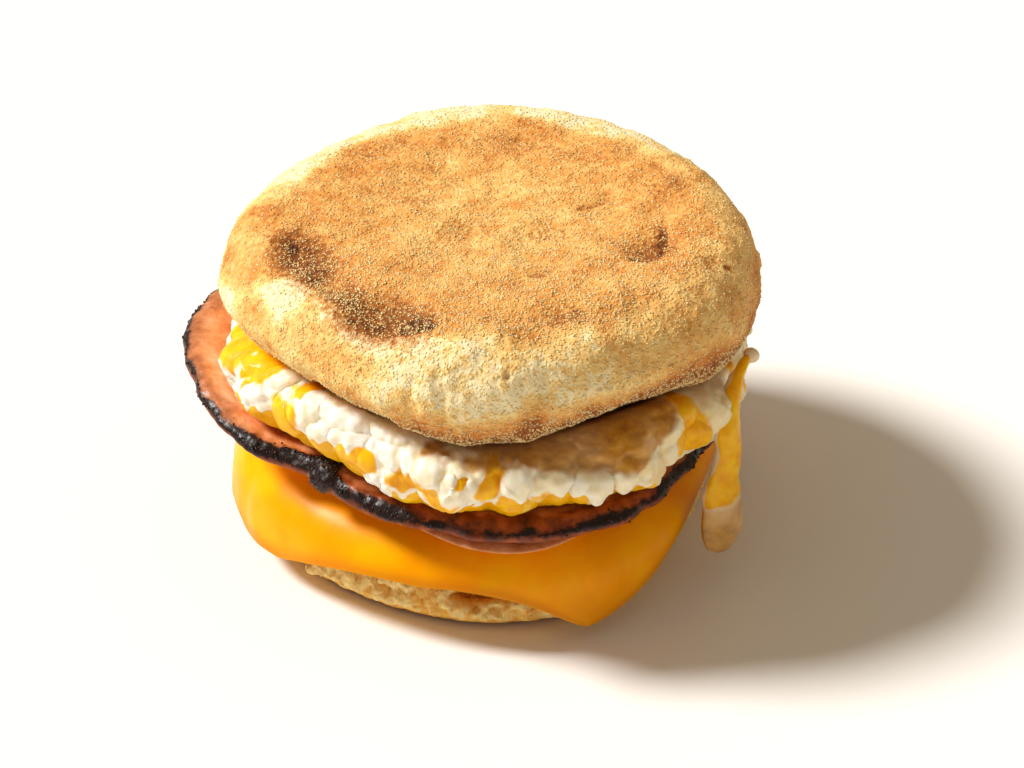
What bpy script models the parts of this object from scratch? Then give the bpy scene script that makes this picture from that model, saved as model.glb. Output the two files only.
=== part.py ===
"""A breakfast sandwich: a split English muffin with melted cheese, ham and a folded fried egg.

Everything is in metres, with +Z up. The origin is on the bottom muffin half's flat base, under the middle
of the stack, and the side that the cheese's corner hangs from faces -Y. Angles are in degrees, counted
from +X towards +Y. A table of (angle, millimetres) pairs gives a size that changes round the stack.
"""

import itertools
import math

import bmesh
import bpy
import numpy as np

MM = 0.001
GAP = 0.3 * MM  # air between two pieces that rest on each other

# The bottom half of the muffin: a flat base, a low crust wall and a torn slope of crumb above it.
BASE_RADIUS = 37.6 * MM
BOTTOM_RADIUS = 43.4 * MM
CRUST_HEIGHT = 5.0 * MM
CUT_RADIUS = 35.0 * MM
CUT_HEIGHT = 17.4 * MM
BOTTOM_OUTLINE = [
    (-150, 0), (-120, -0.7), (-95, -0.5), (-75, -0.8), (-52, -2.8), (-36, -5.4), (-15, -5.8), (20, -4),
    (80, -1), (150, 0.3),
]
CRAG_DEPTH = 1.5 * MM
CRAG_SIZE = 6.5 * MM

# The cheese slice: a square that drapes over the muffin's edge. Its own edges have melted out or in.
CHEESE_SIDE = 88.0 * MM
CHEESE_THICKNESS = 2.8 * MM
CHEESE_CENTRE = (1.3 * MM, 2.8 * MM)
CHEESE_TURN = 62.0
CHEESE_MELT = [
    (-172, 1), (-165, -3), (-157, 4), (-149, 7.8), (-142, 10.2), (-134, 9.6), (-124, 8.6), (-106, 7.4),
    (-90, 3.6), (-78, 1), (-71, 0), (-60, 1.8), (-54, 1.8), (-45, 0.4), (19, -9), (62, 1), (105, -6),
    (148, 2),
]
CORNER_ROUNDING = 0.05
CHEESE_WAVE = 0.5 * MM
DRAPE_RADIUS = 37.0 * MM
DRAPE_BEND = 9.5 * MM
DRAPE_ANGLE = 80.0

# The ham: a thin lower slice, and an upper one with a thick crust, cupped and lifted on the left.
SLICE_RADIUS = 48.0 * MM  # before a slice gets its outline
RIM_WIDTH = 8.0 * MM
LOWER_HAM_THICKNESS = 2.4 * MM
LOWER_HAM_OUTLINE = [
    (-150, 39), (-125, 40.5), (-112, 42.4), (-104, 45), (-95, 48.2), (-86, 49.4), (-78, 48.2), (-71, 45.4),
    (-60, 42.5), (-45, 41), (-20, 40.5), (60, 42), (120, 44), (180, 42),
]
HAM_THICKNESS = 3.4 * MM
HAM_RIM_THICKNESS = 4.4 * MM
HAM_OUTLINE = [
    (-172, 55.4), (-165, 54), (-158, 53), (-152, 51.6), (-145, 49.6), (-137, 45.8), (-128, 46.6),
    (-116, 47.2), (-98, 48.4), (-84, 50), (-62, 50), (-54, 47.8), (-46, 45.6), (-36, 43.6), (0, 43.4),
    (30, 44), (60, 45.5), (90, 47.5), (120, 50), (140, 52.6), (155, 55.4), (165, 56.4), (176, 56.6),
]
HAM_CUP = 1.2 * MM
HAM_LIFT = 4.5 * MM
HAM_WAVE = 0.35 * MM
CRUMB_SIZE = 4.0 * MM

# The egg: a thick folded patty with curds round its edge, and a tongue that hangs down on the right.
EGG_TOP = 39.6 * MM
EGG_RADIUS = 48.3 * MM
EGG_OUTLINE = [
    (-173, 47), (-163, 48.6), (-153, 48.4), (-142, 45.4), (-130, 45.8), (-117, 47.6), (-107, 49),
    (-98, 50.4), (-85, 50), (-78, 47.8), (-67, 48.9), (-57, 48.6), (-45, 46.8), (-32, 47.2), (-23, 44.4),
    (-10, 42.8), (10, 43.2), (40, 45), (80, 45), (110, 46.5), (145, 46), (170, 46.6),
]
CURD_SIZE = 7.0 * MM
CURD_DEPTH = 4.4 * MM
FOLD_DEPTH = 1.2 * MM
TONGUE_PATH = [  # x, y and z
    (43.2, -20.8, 43.4), (41.0, -23.6, 39.4), (39.8, -26.2, 33), (40.0, -26.8, 26), (39.2, -27, 20),
    (39.7, -27, 12.8), (39.6, -27, 6.4),
]
TONGUE_WIDTH = [2.4, 2.8, 4.8, 5.4, 7.2, 8.4, 8.0]
TONGUE_THICKNESS = 4.2 * MM
DROPLET_PLACE = (43.9 * MM, -19.6 * MM, 42.6 * MM)
DROPLET_RADIUS = 1.8 * MM

# The top half of the muffin: flat and browned above, and arched up along its cut edge in two places.
TOP_CENTRE = (-1.3 * MM, -0.8 * MM)
TOP_RADIUS = 47.7 * MM
TOP_FACE_RADIUS = 40.0 * MM
TOP_CUT_HEIGHT = 40.0 * MM
TOP_HEIGHT = 60.7 * MM
TOP_OUTLINE = [
    (-172, 0), (-132, -1.2), (-95, 0.3), (-60, -0.6), (-30, 0.3), (5, 0.2), (28, -1.2), (48, -1.2), (75, 0),
    (95, 0.3), (112, -1.2), (126, -2.8), (142, -3.8), (156, -2.8),
]
LIP_ARCH = [
    (-175, 1), (-160, 3), (-146, 4.4), (-128, 4.6), (-112, 2.8), (-98, 0.2), (-82, 0.3), (-70, 3), (-58, 4),
    (-48, 2.8), (-38, 0.2), (-20, 0), (60, 1.2), (120, 0.4),
]
TOP_DENTS = [  # x, y, width and depth
    (-33, -15, 5.0, 1.3), (-27, -23, 4.5, 0.9), (-16, -33, 5.5, 1.9), (-21, -31, 4.0, 0.8),
    (28, -12, 4.5, 1.5), (29, 0, 3.5, 1.1), (21, 7, 3.5, 0.7), (8, -16, 3.0, 0.6), (-2, 15, 9.0, 0.5),
    (10, -38, 6.0, 0.8),
]

# How finely each piece is cut up round the Z axis, and the cheese along each side.
SEGMENTS = {"bottom_muffin": 68, "cheese": 20, "lower_ham": 56, "upper_ham": 90, "egg": 104, "top_muffin": 68}

MATERIALS = {  # colour and roughness
    "muffin": ((0.86, 0.66, 0.38), 0.85),
    "cheese": ((0.95, 0.55, 0.04), 0.3),
    "ham": ((0.62, 0.22, 0.10), 0.4),
    "egg": ((0.95, 0.86, 0.62), 0.35),
}

# Heights of the stack, from the bottom muffin's cut face up.
CHEESE_MIDDLE = CUT_HEIGHT + GAP + CHEESE_THICKNESS / 2
LOWER_HAM_MIDDLE = CHEESE_MIDDLE + CHEESE_THICKNESS / 2 + GAP + LOWER_HAM_THICKNESS / 2
HAM_MIDDLE = LOWER_HAM_MIDDLE + LOWER_HAM_THICKNESS / 2 + GAP + HAM_RIM_THICKNESS / 2
EGG_BOTTOM = HAM_MIDDLE + HAM_THICKNESS / 2 + GAP


def hashed(cells, seed):
    """A repeatable number from -1 to 1 for each whole-numbered cell."""
    mixed = np.sin(cells @ np.array([127.1, 311.7, 74.7]) + 19.19 * seed) * 43758.5453
    return 2 * (mixed - np.floor(mixed)) - 1


def noise(points, size, seed):
    """Smooth noise from -1 to 1 that changes over about this size."""
    scaled = points / size
    low = np.floor(scaled)
    ease = (scaled - low) ** 2 * (3 - 2 * (scaled - low))
    total = np.zeros(len(points))
    for corner in itertools.product((0, 1), repeat=3):
        weight = np.prod(np.where(corner, ease, 1 - ease), axis=1)
        total += weight * hashed(low + corner, seed)
    return total


def lumps(points, size, seed):
    """Rounded bulges of about this size: 1 at a bulge's middle, and less in the creases between them."""
    scaled = points / size
    low = np.floor(scaled)
    nearest = np.full(len(points), 9.0)
    for step in itertools.product((-1, 0, 1), repeat=3):
        cell = low + step
        spot = cell + 0.5 + 0.35 * np.stack([hashed(cell, seed + k) for k in range(3)], axis=1)
        nearest = np.minimum(nearest, np.sum((scaled - spot) ** 2, axis=1))
    return np.clip(1 - nearest, 0, 1)


def smoothstep(low, high, value):
    """Rises smoothly from 0 at the low value to 1 at the high one."""
    share = np.clip((value - low) / (high - low), 0, 1)
    return share * share * (3 - 2 * share)


def around(degrees, table, blur=6):
    """Reads a table of (angle, millimetres) pairs at these angles, joined smoothly into a ring."""
    angles, values = zip(*table)
    ring = np.interp(np.arange(360), angles, values, period=360)
    window = np.hanning(2 * blur + 1)
    ring = np.convolve(np.concatenate([ring[-blur:], ring, ring[:blur]]), window / window.sum(), "valid")
    return np.interp(degrees % 360, np.arange(361), np.append(ring, ring[0])) * MM


def polar(points):
    """Each point's distance from the Z axis, and its angle in degrees."""
    return np.hypot(points[:, 0], points[:, 1]), np.degrees(np.arctan2(points[:, 1], points[:, 0]))


def spread(points, factor):
    """The points with their distance from the Z axis multiplied by a factor."""
    return np.column_stack([points[:, 0] * factor, points[:, 1] * factor, points[:, 2]])


def smooth_curve(corners, steps):
    """A Catmull-Rom curve through the corners, with this many steps between two of them."""
    corners = np.array(corners)
    corners = np.vstack([2 * corners[0] - corners[1], corners, 2 * corners[-1] - corners[-2]])
    found = []
    for before, start, end, after in zip(corners, corners[1:], corners[2:], corners[3:]):
        for t in np.arange(steps) / steps:
            bend = 2 * before - 5 * start + 4 * end - after + t * (3 * start - before - 3 * end + after)
            found.append(start + 0.5 * t * (end - before + t * bend))
    return [*found, corners[-2]]


def linked(name, mesh, collection):
    """A new object with this mesh, in this collection."""
    obj = bpy.data.objects.new(name, mesh)
    collection.objects.link(obj)
    return obj


def fixed(obj):
    """The object with its modifiers applied to its mesh."""
    bpy.context.view_layer.update()
    evaluated = obj.evaluated_get(bpy.context.evaluated_depsgraph_get())
    obj.data = bpy.data.meshes.new_from_object(evaluated)
    obj.data.name = obj.name
    obj.modifiers.clear()
    return obj


def turned(name, profile, collection):
    """A solid turned about Z from (radius, height) points in metres, from the top down its outer side."""
    mesh = bpy.data.meshes.new(name)
    rail = [(radius, 0, height) for radius, height in profile]
    mesh.from_pydata(rail, [(k, k + 1) for k in range(len(rail) - 1)], [])
    obj = linked(name, mesh, collection)
    turn = obj.modifiers.new("Turn", "SCREW")
    turn.steps = turn.render_steps = SEGMENTS[name]
    turn.use_merge_vertices = True
    turn.merge_threshold = 0.01 * MM
    return fixed(obj)


def ball(name, segments, rings, collection):
    """A ball of radius 1 about the origin, to be moulded into another shape."""
    shell = bmesh.new()
    bmesh.ops.create_uvsphere(shell, u_segments=segments, v_segments=rings, radius=1)
    mesh = bpy.data.meshes.new(name)
    shell.to_mesh(mesh)
    shell.free()
    return linked(name, mesh, collection)


def mould(obj, shape):
    """Moves every vertex of the object's mesh to where the shape function puts it."""
    points = np.empty(3 * len(obj.data.vertices))
    obj.data.vertices.foreach_get("co", points)
    obj.data.vertices.foreach_set("co", shape(points.reshape(-1, 3)).ravel())
    obj.data.update()


def finish(obj, material):
    """Gives the object its material and shades it smooth."""
    obj.data.materials.clear()
    obj.data.materials.append(bpy.data.materials[material])
    obj.data.shade_smooth()


def make_materials():
    for name, (colour, roughness) in MATERIALS.items():
        material = bpy.data.materials.new(name)
        material.use_nodes = True
        shader = material.node_tree.nodes["Principled BSDF"]
        shader.inputs["Base Color"].default_value = (*colour, 1)
        shader.inputs["Roughness"].default_value = roughness


def bottom_muffin(collection):
    """The lower half: a low wall of crust, and above it a torn slope of crumb up to the cut face."""
    side = [
        (CUT_RADIUS, CUT_HEIGHT),
        (CUT_RADIUS + 3.6 * MM, CUT_HEIGHT - 1.8 * MM),
        (CUT_RADIUS + 6.2 * MM, CUT_HEIGHT - 5 * MM),
        (BOTTOM_RADIUS - 1.2 * MM, CRUST_HEIGHT + 4 * MM),
        (BOTTOM_RADIUS, CRUST_HEIGHT),
        (BOTTOM_RADIUS - 0.6 * MM, CRUST_HEIGHT / 2),
        (BOTTOM_RADIUS - 2.6 * MM, 0.7 * MM),
        (BASE_RADIUS, 0),
    ]
    cut_face = [(0, CUT_HEIGHT), (CUT_RADIUS / 2, CUT_HEIGHT)]
    profile = [*cut_face, *smooth_curve(side, 2), (BASE_RADIUS / 2, 0), (0, 0)]
    obj = turned("bottom_muffin", profile, collection)

    def shape(points):
        radius, angle = polar(points)
        torn = smoothstep(CRUST_HEIGHT - 1 * MM, CRUST_HEIGHT + 2 * MM, points[:, 2])
        torn *= smoothstep(CUT_RADIUS - 1 * MM, CUT_RADIUS + 3 * MM, radius)
        rough = 0.7 * noise(points, CRAG_SIZE, 3) + 0.6 * noise(points, CRAG_SIZE / 2, 4) - 0.2
        crags = torn * CRAG_DEPTH * rough
        wobble = 0.25 * MM * noise(points, 2 * CRAG_SIZE, 2)
        return spread(points, 1 + (around(angle, BOTTOM_OUTLINE, 15) + crags + wobble) / BOTTOM_RADIUS)

    mould(obj, shape)
    finish(obj, "muffin")


def drape(radius, outline):
    """Where a point of the flat slice comes to lie over the muffin's outline: its new radius and height."""
    start = DRAPE_RADIUS + outline
    over = np.clip(radius - start, 0, None)
    angle = math.radians(DRAPE_ANGLE)
    bend = np.minimum(over / DRAPE_BEND, angle)
    straight = np.clip(over - DRAPE_BEND * angle, 0, None)
    out = np.minimum(radius, start) + DRAPE_BEND * np.sin(bend) + straight * math.cos(angle)
    return out, CHEESE_MIDDLE - DRAPE_BEND * (1 - np.cos(bend)) - straight * math.sin(angle)


def cheese(collection):
    """A square sheet of even thickness, with its corners draped down the muffin's side."""
    sheet = bmesh.new()
    steps = SEGMENTS["cheese"]
    bmesh.ops.create_grid(sheet, x_segments=steps, y_segments=steps, size=CHEESE_SIDE / 2)
    mesh = bpy.data.meshes.new("cheese")
    sheet.to_mesh(mesh)
    sheet.free()
    obj = linked("cheese", mesh, collection)

    def shape(points):
        u, v = (np.abs(points[:, axis]) / (CHEESE_SIDE / 2) for axis in (0, 1))
        points = spread(points, 1 - CORNER_ROUNDING * (u * v) ** 8)
        turn = math.radians(CHEESE_TURN)
        x = CHEESE_CENTRE[0] + points[:, 0] * math.cos(turn) - points[:, 1] * math.sin(turn)
        y = CHEESE_CENTRE[1] + points[:, 0] * math.sin(turn) + points[:, 1] * math.cos(turn)
        radius, angle = polar(np.column_stack([x, y]))
        radius = radius + around(angle, CHEESE_MELT, 4) * np.maximum(u, v) ** 3
        out, height = drape(radius, around(angle, BOTTOM_OUTLINE, 15))
        hanging = smoothstep(DRAPE_RADIUS, DRAPE_RADIUS + DRAPE_BEND, out)
        out = out + hanging * CHEESE_WAVE * (0.8 + noise(points, CHEESE_SIDE / 4, 11))
        angle = np.radians(angle)
        return np.column_stack([out * np.cos(angle), out * np.sin(angle), height])

    mould(obj, shape)
    wall = obj.modifiers.new("Thickness", "SOLIDIFY")
    wall.thickness = CHEESE_THICKNESS
    wall.offset = 0
    finish(fixed(obj), "cheese")


def ham_profile(thickness, rim_thickness):
    """The section of a slice about its own middle height: flat, then another thickness at its rim."""
    half, rim = thickness / 2, rim_thickness / 2
    inside = SLICE_RADIUS - RIM_WIDTH
    upper = [(0, half), (0.45 * inside, half), (0.8 * inside, half), (inside, half)]
    upper += [(inside + 0.45 * RIM_WIDTH, rim), (inside + 0.78 * RIM_WIDTH, rim * 0.9)]
    return [*upper, (SLICE_RADIUS, -0.1 * rim), *((across, -height) for across, height in reversed(upper))]


def lower_ham(collection):
    """A thin slice whose pale edge peeps out at the front."""
    obj = turned("lower_ham", ham_profile(LOWER_HAM_THICKNESS, LOWER_HAM_THICKNESS * 0.8), collection)

    def shape(points):
        angle = polar(points)[1]
        moved = spread(points, around(angle, LOWER_HAM_OUTLINE) / SLICE_RADIUS)
        moved[:, 2] += LOWER_HAM_MIDDLE
        return moved

    mould(obj, shape)
    finish(obj, "ham")


def ham_rise(points):
    """How far the upper slice stands above its flat middle: cupped at the rim, and lifted on the left."""
    radius, angle = polar(points)
    cup = HAM_CUP + HAM_WAVE * np.sin(np.radians(5 * angle + 40))
    lift = HAM_LIFT * smoothstep(36 * MM, 57 * MM, -points[:, 0])
    return smoothstep(35 * MM, 50 * MM, radius) * cup + lift


def upper_ham(collection):
    """The slice with the charred crust, whose rim is thick and crumbly."""
    obj = turned("upper_ham", ham_profile(HAM_THICKNESS, HAM_RIM_THICKNESS), collection)

    def shape(points):
        distance, angle = polar(points)
        rim = smoothstep(SLICE_RADIUS - RIM_WIDTH, SLICE_RADIUS - RIM_WIDTH / 3, distance)
        crumbs = rim * MM * (0.7 * noise(points, CRUMB_SIZE, 21) + 0.5 * noise(points, 2 * CRUMB_SIZE, 22))
        moved = spread(points, (around(angle, HAM_OUTLINE) + crumbs) / SLICE_RADIUS)
        moved[:, 2] += HAM_MIDDLE + ham_rise(moved)
        return moved

    mould(obj, shape)
    finish(obj, "ham")


def lip_arch(points):
    """How far the top muffin's cut edge is arched up above its flat middle."""
    radius, angle = polar(points)
    return around(angle, LIP_ARCH) * smoothstep(36 * MM, 45 * MM, radius)


def egg_tongue(collection):
    """The strand that runs down over the ham and the cheese: a ball drawn out along a path."""
    obj = ball("egg_tongue", 14, 26, collection)
    path = np.array(smooth_curve(np.array(TONGUE_PATH) * MM, 12))
    place = np.linspace(0, 1, len(path))
    widths = np.interp(place, np.linspace(0, 1, len(TONGUE_WIDTH)), TONGUE_WIDTH) * MM

    def shape(points):
        along = np.clip(np.arccos(np.clip(points[:, 2], -1, 1)) / math.pi, 0, 1)
        middle = np.column_stack([np.interp(along, place, path[:, axis]) for axis in range(3)])
        fullness = np.clip(1 - (2 * along - 1) ** 10, 0, 1) ** 0.5
        width = np.interp(along, place, widths)
        outward = middle[:, :2] / polar(middle)[0][:, None]
        sideways = np.column_stack([-outward[:, 1], outward[:, 0]])
        turn = np.arctan2(points[:, 1], points[:, 0])
        across = np.cos(turn) * width / 2 * fullness
        through = np.sin(turn) * np.minimum(width, TONGUE_THICKNESS) / 2 * fullness
        middle[:, :2] += sideways * across[:, None] + outward * through[:, None]
        return middle

    mould(obj, shape)


def egg_droplet(collection):
    """A small blob of white that has squeezed out beside the strand's upper end."""
    obj = ball("egg_droplet", 12, 8, collection)
    mould(obj, lambda points: points * DROPLET_RADIUS + np.array(DROPLET_PLACE))


def fuse(obj, pieces):
    """Joins every object of a collection to this one, and removes them and the collection."""
    union = obj.modifiers.new("Fuse", "BOOLEAN")
    union.operation = "UNION"
    union.operand_type = "COLLECTION"
    union.collection = pieces
    union.solver = "EXACT"
    fixed(obj)
    for piece in list(pieces.objects):
        bpy.data.objects.remove(piece)
    bpy.data.collections.remove(pieces)


def egg(collection):
    """The folded egg: a patty with lobes and curds round its edge, and its tongue fused to it."""
    side = [
        (EGG_RADIUS - 10 * MM, EGG_TOP),
        (EGG_RADIUS - 5.5 * MM, EGG_TOP),
        (EGG_RADIUS - 2 * MM, EGG_TOP - 1.2 * MM),
        (EGG_RADIUS - 0.3 * MM, EGG_TOP - 4 * MM),
        (EGG_RADIUS, EGG_TOP - 7.5 * MM),
        (EGG_RADIUS - 0.8 * MM, EGG_BOTTOM + 2.2 * MM),
        (EGG_RADIUS - 3.4 * MM, EGG_BOTTOM + 0.6 * MM),
        (EGG_RADIUS - 9 * MM, EGG_BOTTOM + 0.3 * MM),
    ]
    top, bottom = ([(0, height), (EGG_RADIUS / 2, height)] for height in (EGG_TOP, EGG_BOTTOM))
    obj = turned("egg", [*top, *smooth_curve(side, 2), *reversed(bottom)], collection)

    def shape(points):
        radius, angle = polar(points)
        rim = smoothstep(EGG_RADIUS - 8 * MM, EGG_RADIUS - 2 * MM, radius)
        folds = FOLD_DEPTH * noise(points * np.array([1, 1, 0.5]), CURD_SIZE, 31)
        curds = CURD_DEPTH * (lumps(points * np.array([1, 1, 0.8]), CURD_SIZE, 32) - 0.5)
        moved = spread(points, (around(angle, EGG_OUTLINE) + rim * (folds + curds)) / EGG_RADIUS)
        share = np.clip((points[:, 2] - EGG_BOTTOM) / (EGG_TOP - EGG_BOTTOM), 0, 1)
        moved[:, 2] += (1 - share) * ham_rise(moved) + share * 0.85 * lip_arch(moved)
        moved[:, 2] -= share * rim * 0.5 * MM * (1 + noise(points, 9 * MM, 33))
        return moved

    mould(obj, shape)
    pieces = bpy.data.collections.new("egg pieces")
    bpy.context.scene.collection.children.link(pieces)
    egg_tongue(pieces)
    egg_droplet(pieces)
    fuse(obj, pieces)
    finish(obj, "egg")


def top_muffin(collection):
    """The upper half: a flat dented face, a full rounded side and a narrower cut edge below."""
    side = [
        (TOP_FACE_RADIUS - 10 * MM, TOP_HEIGHT),
        (TOP_FACE_RADIUS - 4 * MM, TOP_HEIGHT),
        (TOP_FACE_RADIUS, TOP_HEIGHT - 0.7 * MM),
        (TOP_RADIUS - 3.8 * MM, TOP_HEIGHT - 2.8 * MM),
        (TOP_RADIUS - 1.3 * MM, TOP_HEIGHT - 6 * MM),
        (TOP_RADIUS, TOP_HEIGHT - 10.5 * MM),
        (TOP_RADIUS - 0.6 * MM, TOP_CUT_HEIGHT + 5.4 * MM),
        (TOP_RADIUS - 2.6 * MM, TOP_CUT_HEIGHT + 2 * MM),
        (TOP_RADIUS - 5.6 * MM, TOP_CUT_HEIGHT + 0.3 * MM),
        (TOP_RADIUS - 9 * MM, TOP_CUT_HEIGHT),
    ]
    face = [(share * TOP_FACE_RADIUS, TOP_HEIGHT) for share in (0, 0.2, 0.38, 0.54, 0.66)]
    profile = [*face, *smooth_curve(side, 2), (TOP_RADIUS / 2, TOP_CUT_HEIGHT), (0, TOP_CUT_HEIGHT)]
    obj = turned("top_muffin", profile, collection)

    def shape(points):
        radius, angle = polar(points)
        skin = smoothstep(0, 1.5 * MM, points[:, 2] - TOP_CUT_HEIGHT)
        swell = around(angle, TOP_OUTLINE, 15) + 0.6 * MM * noise(points, 13 * MM, 41) * skin
        moved = spread(points, 1 + swell / TOP_RADIUS)
        dips = 0.4 * noise(points, 11 * MM, 42) - 0.7 * smoothstep(30 * MM, 8 * MM, radius)
        for x, y, width, depth in TOP_DENTS:
            distance = np.hypot(points[:, 0] - x * MM, points[:, 1] - y * MM)
            dips = dips - depth * np.exp(-((distance / (width * MM)) ** 2))
        moved[:, 2] += smoothstep(TOP_HEIGHT - 6 * MM, TOP_HEIGHT - 1 * MM, points[:, 2]) * dips * MM
        moved[:, :2] += TOP_CENTRE
        low = 1 - smoothstep(TOP_CUT_HEIGHT + 3 * MM, TOP_CUT_HEIGHT + 14 * MM, points[:, 2])
        moved[:, 2] += low * lip_arch(moved)
        return moved

    mould(obj, shape)
    finish(obj, "muffin")


def main():
    for old in list(bpy.data.objects):
        bpy.data.objects.remove(old)
    sandwich = bpy.data.collections.new("breakfast sandwich")
    bpy.context.scene.collection.children.link(sandwich)
    make_materials()
    bottom_muffin(sandwich)
    cheese(sandwich)
    lower_ham(sandwich)
    upper_ham(sandwich)
    egg(sandwich)
    top_muffin(sandwich)


main()
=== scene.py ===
"""The looks of a breakfast sandwich: an English muffin with melted cheese, charred ham and a folded egg.

Everything is in metres, with +Z up, in the frame of the solids. Angles are in degrees, counted from +X
towards +Y. A table of (angle, millimetres) pairs gives a size that changes round the stack.
"""

import itertools
import math

import bmesh
import bpy
import numpy as np
from mathutils import Matrix, Vector


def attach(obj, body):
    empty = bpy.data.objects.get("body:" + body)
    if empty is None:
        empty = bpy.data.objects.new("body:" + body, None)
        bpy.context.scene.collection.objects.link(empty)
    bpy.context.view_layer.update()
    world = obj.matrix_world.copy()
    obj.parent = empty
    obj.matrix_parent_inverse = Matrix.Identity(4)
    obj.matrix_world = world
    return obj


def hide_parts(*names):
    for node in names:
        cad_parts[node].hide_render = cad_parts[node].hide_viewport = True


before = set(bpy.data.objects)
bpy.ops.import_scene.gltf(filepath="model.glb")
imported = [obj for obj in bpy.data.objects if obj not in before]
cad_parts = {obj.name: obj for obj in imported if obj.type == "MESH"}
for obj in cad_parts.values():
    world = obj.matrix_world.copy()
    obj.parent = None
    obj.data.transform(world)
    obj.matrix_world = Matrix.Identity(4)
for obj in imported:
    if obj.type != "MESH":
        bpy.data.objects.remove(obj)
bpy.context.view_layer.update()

MM = 0.001
GAP = 0.3 * MM
BODY = "root"
SEED = 7

# The bottom half of the muffin: a flat base, a low crust wall and a torn slope of crumb above it.
BASE_RADIUS = 37.6 * MM
BOTTOM_RADIUS = 43.4 * MM
CRUST_HEIGHT = 5.0 * MM
TORN_HEIGHT = 3.2 * MM
CUT_RADIUS = 35.0 * MM
CUT_HEIGHT = 17.4 * MM
BOTTOM_OUTLINE = [
    (-150, 0), (-120, -0.7), (-95, -0.5), (-75, -0.8), (-52, -2.8), (-36, -5.4), (-15, -5.8), (20, -4),
    (80, -1), (150, 0.3),
]
CRAG_DEPTH = 1.5 * MM
CRAG_SIZE = 6.5 * MM
BOTTOM_SEGMENTS = 768
# How far its wall stands in where the cheese hangs over it.
CHEESE_COVER = [(-66, 0), (-45, 2.2), (-30, 2.6), (-10, 1.2), (10, 0)]
# The slot under the cheese, painted dark as its shadow: its angle, height, half width, half height and depth
# in mm.
HOLLOW = (-95.0, 6.8, 4.2, 0.9, 2.8)

# The cheese slice: a square that drapes over the muffin's edge. Its own edges have melted out or in.
CHEESE_SIDE = 88.0 * MM
CHEESE_THICKNESS = 2.8 * MM
CHEESE_CENTRE = (1.3 * MM, 2.8 * MM)
CHEESE_TURN = 62.0
CHEESE_MELT = [  # how far its edge has melted outwards
    (-172, 1), (-165, -3), (-157, 4), (-149, 7.8), (-142, 10.2), (-134, 9.6), (-124, 8.6), (-106, 7.4),
    (-90, 3.6), (-78, 1), (-71, 0), (-60, 1.8), (-54, 1.8), (-45, 0.4), (19, -9), (62, 1), (105, -6),
    (148, 2),
]
CHEESE_BULGES = [  # angle, height, half width, half height and how far each stands out in mm
    (-167, 11, 6.0, 6.0, 0.5), (-149, 11, 6.0, 5.0, 0.4), (-66, 14, 3.0, 6.0, 0.35),
]
CORNER_ROUNDING = 0.05
CHEESE_WAVE = 0.5 * MM
DRAPE_RADIUS = 37.0 * MM
DRAPE_BEND = 9.5 * MM
DRAPE_ANGLE = 80.0
SHEET_SQUARES = 170

# The ham: a thin lower slice, and an upper one with a thick crust, cupped and lifted on the left.
SLICE_RADIUS = 48.0 * MM
RIM_WIDTH = 8.0 * MM
LOWER_HAM_THICKNESS = 2.4 * MM
LOWER_HAM_SEGMENTS = 416
LOWER_HAM_OUTLINE = [
    (-150, 39), (-125, 40.5), (-112, 42.4), (-104, 45), (-95, 48.2), (-86, 49.4), (-78, 48.2), (-71, 45.4),
    (-60, 42.5), (-45, 41), (-20, 40.5), (60, 42), (120, 44), (180, 42),
]
HAM_THICKNESS = 3.4 * MM
HAM_RIM_THICKNESS = 4.4 * MM
HAM_SEGMENTS = 768
HAM_OUTLINE = [
    (-172, 55.4), (-165, 54), (-158, 53), (-152, 51.6), (-145, 49.6), (-137, 45.8), (-128, 46.6),
    (-116, 47.2), (-98, 48.4), (-84, 50), (-62, 50), (-54, 47.8), (-46, 45.6), (-36, 43.6), (0, 43.4),
    (30, 44), (60, 45.5), (90, 47.5), (120, 50), (140, 52.6), (155, 55.4), (165, 56.4), (176, 56.6),
]
HAM_CUP = 1.2 * MM
HAM_LIFT = 4.5 * MM
HAM_DROOP = 1.5 * MM
# A lump of char on its rim: its angle, height, half width, half height and how far it stands out in mm.
HAM_KNOB = (-131.2, 27.6, 2.8, 3.2, 1.1)
HAM_WAVE = 0.35 * MM
CRUMB_SIZE = 4.0 * MM
CHAR_WIDTH = [  # how wide the black rim is on top
    (-178, 0.7), (-160, 0.8), (-151, 1.6), (-140, 2.0), (-131, 2.2), (-118, 1.5), (-104, 0.7), (-85, 0.5),
    (-60, 0.9), (-45, 1.4), (-30, 1.2), (60, 1.2), (150, 1.0),
]
CHAR_CRUMBS = 10  # how many times one crumb is doubled
CHAR_CRUMB_SIZE = 0.22 * MM

# The egg: a thick folded patty with curds round its edge, and a tongue that hangs down on the right.
EGG_TOP = 39.6 * MM
EGG_RADIUS = 48.3 * MM
EGG_SEGMENTS = 960
EGG_OUTLINE = [
    (-173, 47), (-163, 48.6), (-153, 48.4), (-142, 45.4), (-130, 45.8), (-117, 47.6), (-107, 49),
    (-98, 50.4), (-85, 50), (-78, 47.8), (-67, 48.9), (-57, 48.6), (-45, 46.8), (-32, 47.2), (-23, 44.4),
    (-10, 42.8), (10, 43.2), (40, 45), (80, 45), (110, 46.5), (145, 46), (170, 46.6),
]
# How far its bottom edge is pulled in.
EGG_TUCK = [(-175, 0), (-155, 1), (-135, 3), (-100, 3), (-80, 2), (-60, 1), (-40, 0.5), (-20, 0)]
CURD_SIZE = 7.0 * MM
CURD_DEPTH = 4.4 * MM
FOLD_DEPTH = 1.2 * MM
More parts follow.
